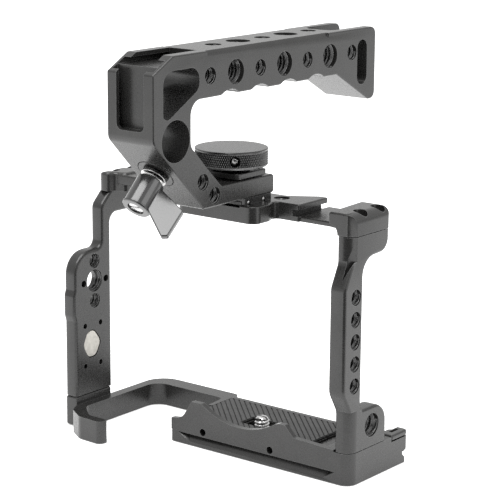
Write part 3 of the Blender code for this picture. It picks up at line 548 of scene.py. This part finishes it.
def knob_rings(around):
    """Rings of (radius, z) from the bore, over the underside, rim and top, to the middle of the top."""
    rows = 36
    fade_rows = 3
    low, high = KNOB_LOW + 0.75, KNOB_HIGH - 0.65
    underside = (
        (KNOB_BORE, KNOB_LOW), (9.5, KNOB_LOW),
        (KNOB_RADIUS - 0.9, KNOB_LOW), (KNOB_RADIUS - 0.35, KNOB_LOW + 0.3),
    )
    top = (
        (KNOB_RADIUS - 0.05, KNOB_HIGH - 0.35), (KNOB_RADIUS - 0.2, KNOB_HIGH - 0.1),
        (KNOB_RADIUS - 0.45, KNOB_HIGH), (KNOB_RADIUS - 0.55, KNOB_HIGH), (9.0, KNOB_HIGH), (4.0, KNOB_HIGH),
    )
    rings = [[place] * around for place in underside]
    for row in range(rows + 1):
        z = low + (high - low) * row / rows
        fade = min(1.0, row / fade_rows, (rows - row) / fade_rows)
        ring = []
        for k in range(around):
            height = knurl(KNURL_COUNT * k / around, (z - low) / KNURL_CELL)
            ring.append((KNOB_RADIUS - KNURL_INSET - KNURL_DEPTH * (1 - height) * fade, z))
        rings.append(ring)
    rings += [[place] * around for place in top]
    return rings


def knob_mesh(material):
    """Flat disc with a turned top and a diamond-knurled rim."""
    around = KNURL_COUNT * 6
    rings = knob_rings(around)
    points = []
    for ring in rings:
        for k, (radius, z) in enumerate(ring):
            angle = math.tau * k / around
            points.append((HANDLE_X + radius * math.cos(angle), KNOB_Y + radius * math.sin(angle), z))
    faces = []
    for r in range(len(rings) - 1):
        for k in range(around):
            m = (k + 1) % around
            faces.append((r * around + k, r * around + m, (r + 1) * around + m, (r + 1) * around + k))
    faces.append(tuple((len(rings) - 1) * around + k for k in range(around)))
    bore_top = len(points)
    for k in range(around):
        angle = math.tau * k / around
        x = HANDLE_X + KNOB_BORE * math.cos(angle)
        y = KNOB_Y + KNOB_BORE * math.sin(angle)
        points.append((x, y, KNOB_BORE_TOP))
    for k in range(around):
        m = (k + 1) % around
        faces.append((k, bore_top + k, bore_top + m, m))
    faces.append(tuple(bore_top + k for k in reversed(range(around))))
    return mesh_object("knurled_knob", points, faces, material)


def radial_tool(radius, start, end):
    """Cylinder that points out of the knob's rim towards the front right."""
    bpy.ops.mesh.primitive_cylinder_add(vertices=32, radius=radius * MM, depth=(end - start) * MM)
    tool = bpy.context.object
    turn = Matrix.Rotation(math.radians(SET_SCREW_TURN), 4, "Z") @ Matrix.Rotation(math.radians(90), 4, "Y")
    reach = Matrix.Translation((0, 0, (start + end) / 2 * MM))
    tool.matrix_world = Matrix.Translation(Vector((HANDLE_X, KNOB_Y, SET_SCREW_Z)) * MM) @ turn @ reach
    return tool


def carve(item, tool, operation="DIFFERENCE"):
    """Applies a Boolean with a tool object and removes the tool."""
    step = item.modifiers.new("carve", "BOOLEAN")
    step.operation = operation
    step.solver = "EXACT"
    step.object = tool
    bpy.context.view_layer.update()
    mesh = bpy.data.meshes.new_from_object(item.evaluated_get(bpy.context.evaluated_depsgraph_get()))
    item.modifiers.clear()
    item.data = mesh
    bpy.data.objects.remove(tool)
    return item


def block(name, x0, x1, y0, y1, z0, z1):
    """Box between limits in millimetres."""
    bpy.ops.mesh.primitive_cube_add(size=1)
    item = bpy.context.object
    item.name = name
    item.data.transform(Matrix.Diagonal(((x1 - x0) * MM, (y1 - y0) * MM, (z1 - z0) * MM, 1)))
    item.data.transform(Matrix.Translation(Vector(((x0 + x1) / 2, (y0 + y1) / 2, (z0 + z1) / 2)) * MM))
    return item


def turned(name, profile, centre, material):
    """Solid of revolution about a vertical axis from (radius, height) points."""
    steps = 64
    points = []
    for radius, z in profile:
        for k in range(steps):
            angle = math.tau * k / steps
            points.append((centre[0] + radius * math.cos(angle), centre[1] + radius * math.sin(angle), z))
    faces = []
    for row in range(len(profile) - 1):
        for k in range(steps):
            m = (k + 1) % steps
            faces.append((row * steps + k, row * steps + m, (row + 1) * steps + m, (row + 1) * steps + k))
    faces.append(tuple(range(steps)))
    faces.append(tuple((len(profile) - 1) * steps + k for k in range(steps)))
    return outward(mesh_object(name, points, faces, material))


def knob(material):
    """Knurled knob with the hole of its set screw."""
    item = outward(knob_mesh(material))
    carve(item, radial_tool(SET_SCREW_RADIUS, KNOB_RADIUS - 6.0, KNOB_RADIUS + 2))
    sharpen(item, 28)
    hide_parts("clamp_knob")
    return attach(item, "knob")


# ---------------------------------------------------------------- ribbed pad and camera screw
def rib_sheet(material):
    """Large ribbed slab whose ribs run diagonally, later trimmed to the pad's outline."""
    reach = 40.0
    middle_x, middle_y = (PAD_LEFT + PAD_RIGHT) / 2, (PAD_FRONT + PAD_BACK) / 2
    section = []
    for rib in range(-int(reach / RIB_PITCH), int(reach / RIB_PITCH)):
        for share, height in RIB_SECTION:
            section.append((RIB_PITCH * (rib + share), PAD_TOP - RIB_HEIGHT * (1 - height)))
    section += [(section[-1][0], PAD_LOW - 1), (section[0][0], PAD_LOW - 1)]
    points = []
    for along in (-reach, reach):
        for across, z in section:
            x = middle_x + (across + along) / math.sqrt(2)
            y = middle_y + (across - along) / math.sqrt(2)
            points.append((x, y, z))
    count = len(section)
    faces = [(k, (k + 1) % count, count + (k + 1) % count, count + k) for k in range(count)]
    faces.append(tuple(range(count)))
    faces.append(tuple(reversed(range(count, 2 * count))))
    return outward(mesh_object("pad_sheet", points, faces, material, smooth=False))


def pad(material):
    """Rubber pad with diagonal ribs and a slot for the camera screw."""
    item = block("ribbed_pad", PAD_LEFT, PAD_RIGHT, PAD_FRONT, PAD_BACK, PAD_LOW, PAD_TOP)
    item.data.materials.append(material)
    carve(item, rib_sheet(material), "INTERSECT")
    carve(item, block("slot_tool", *PAD_SLOT_X, SCREW_Y - PAD_SLOT_HALF, SCREW_Y + PAD_SLOT_HALF, 5, 12))
    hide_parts("base_pad")
    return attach(item, "cage")


def camera_screw(material):
    """Camera screw with a cut thread, a coin slot below and a driver slot on its tip."""
    low, shoulder = SCREW_HEAD_LOW, SCREW_HEAD_TOP
    profile = [
        (5.5, low), (6.0, low + 0.5), (6.0, shoulder - 0.2), (5.8, shoulder), (SCREW_CORE, shoulder),
        (SCREW_CORE, SCREW_TIP - 0.75), (SCREW_CORE - 0.5, SCREW_TIP - 0.15), (1.2, SCREW_TIP),
    ]
    item = turned("camera_screw_turned", profile, (SCREW_X, SCREW_Y), material)
    carve(item, block("coin_tool", *SCREW_SLOTS_X, SCREW_Y - 0.6, SCREW_Y + 0.6, 1, 2.8))
    carve(item, block("tip_tool", *SCREW_SLOTS_X, SCREW_Y - 0.45, SCREW_Y + 0.45, 11.3, 14))
    sharpen(item, 30)
    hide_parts("camera_screw")
    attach(item, "camera_thumb_screw")
    ridge = helix("Z", (SCREW_X, SCREW_Y), SCREW_CORE - 0.03, SCREW_CREST, QUARTER_PITCH, 4.9, 12.2, 36)
    thread = outward(mesh_object("camera_screw_thread", *ridge, material))
    sharpen(thread, 35)
    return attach(thread, "camera_thumb_screw")


# ---------------------------------------------------------------- studio
def floor(material):
    """Plain round floor just below the object."""
    bpy.ops.mesh.primitive_circle_add(vertices=64, radius=FLOOR_RADIUS, fill_type="NGON")
    item = bpy.context.object
    item.location = (0, 0, -FLOOR_DROP)
    item.name = "studio_floor"
    item.data.materials.append(material)


def dark_card(material):
    """Black flag beside the camera, seen only in the reflections of faces turned to the camera."""
    bpy.ops.mesh.primitive_plane_add(size=1)
    item = bpy.context.object
    item.name = "dark_card"
    item.scale = (*CARD_SIZE, 1.0)
    facing = math.atan2(CAMERA_SIDE[1], CAMERA_SIDE[0]) + math.radians(90)
    item.rotation_euler = (math.radians(CARD_TILT), 0, facing)
    item.location = (CARD_DISTANCE * CAMERA_SIDE[0], CARD_DISTANCE * CAMERA_SIDE[1], CARD_HEIGHT)
    item.visible_camera = False
    item.visible_diffuse = False
    item.visible_shadow = False
    item.data.materials.append(material)


def area_light(name, location, target, size, power):
    """Square soft light that faces a point."""
    light = bpy.data.lights.new(name, "AREA")
    light.shape = "SQUARE"
    light.size = size
    light.energy = power
    item = bpy.data.objects.new(name, light)
    item.location = location
    direction = Vector(target) - Vector(location)
    item.rotation_euler = direction.to_track_quat("-Z", "Y").to_euler()
    bpy.context.scene.collection.objects.link(item)


def studio():
    """White surroundings with a large light above the front and a small one at the right."""
    world = bpy.data.worlds.new("studio")
    world.use_nodes = True
    background = world.node_tree.nodes["Background"]
    background.inputs["Color"].default_value = (1.0, 1.0, 0.995, 1.0)
    background.inputs["Strength"].default_value = 1.0
    bpy.context.scene.world = world
    bpy.context.scene.view_settings.view_transform = "Standard"
    area_light("overhead", (0.0, -0.35, 1.25), OBJECT_CENTRE, 1.1, 20.0)
    area_light("right", (1.2, 0.1, 0.6), OBJECT_CENTRE, 0.8, 3.0)


def camera():
    data = bpy.data.cameras.new("camera")
    data.lens = CAMERA_LENS
    data.sensor_width = 36.0
    item = bpy.data.objects.new("camera", data)
    item.location = CAMERA_PLACE
    item.rotation_euler = [math.radians(a) for a in CAMERA_TURN]
    bpy.context.scene.collection.objects.link(item)
    bpy.context.scene.camera = item


# ---------------------------------------------------------------- build
def dress_nodes(black, bright, dark, polished):
    """Finishes of the CAD nodes that are shown as they are, with the width of their broken edges."""
    bright_nodes = (
        "clamp_collar", "clamp_screw", "lever_screw", "lever_spring", "knob_set_screw",
        "shoe_grub_screw_1", "shoe_grub_screw_2",
    )
    for name in NODES:
        if name in ("clamp_knob", "base_pad", "camera_screw"):
            continue
        if name in bright_nodes:
            dress(name, bright, 0.0)
        elif "screw" in name or name in ("knob_washer", "shoe_foot"):
            dress(name, dark, 0.0)
        elif name == "badge":
            dress(name, badge_metal("badge_finish"), 0.0)
        elif name == "clamp_lever":
            dress(name, polished, 0.15)
        else:
            dress(name, black, 0.15 if name == "handle_body" else 0.2)


def build():
    black = anodised("black_anodised_finish")
    bright = turned_steel("bright_steel_finish")
    dark = black_steel("black_steel_finish")
    dress_nodes(black, bright, dark, lever_finish("lever_finish"))
    cut_threads = thread_finish("cut_thread_finish")
    handle_threads(cut_threads)
    plate_threads(cut_threads)
    knob(knob_finish("knob_finish"))
    pad(pad_rubber("pad_rubber_finish"))
    camera_screw(bright)
    floor(studio_floor("floor_paint"))
    dark_card(card_paper("card_paper"))
    studio()
    camera()


build()
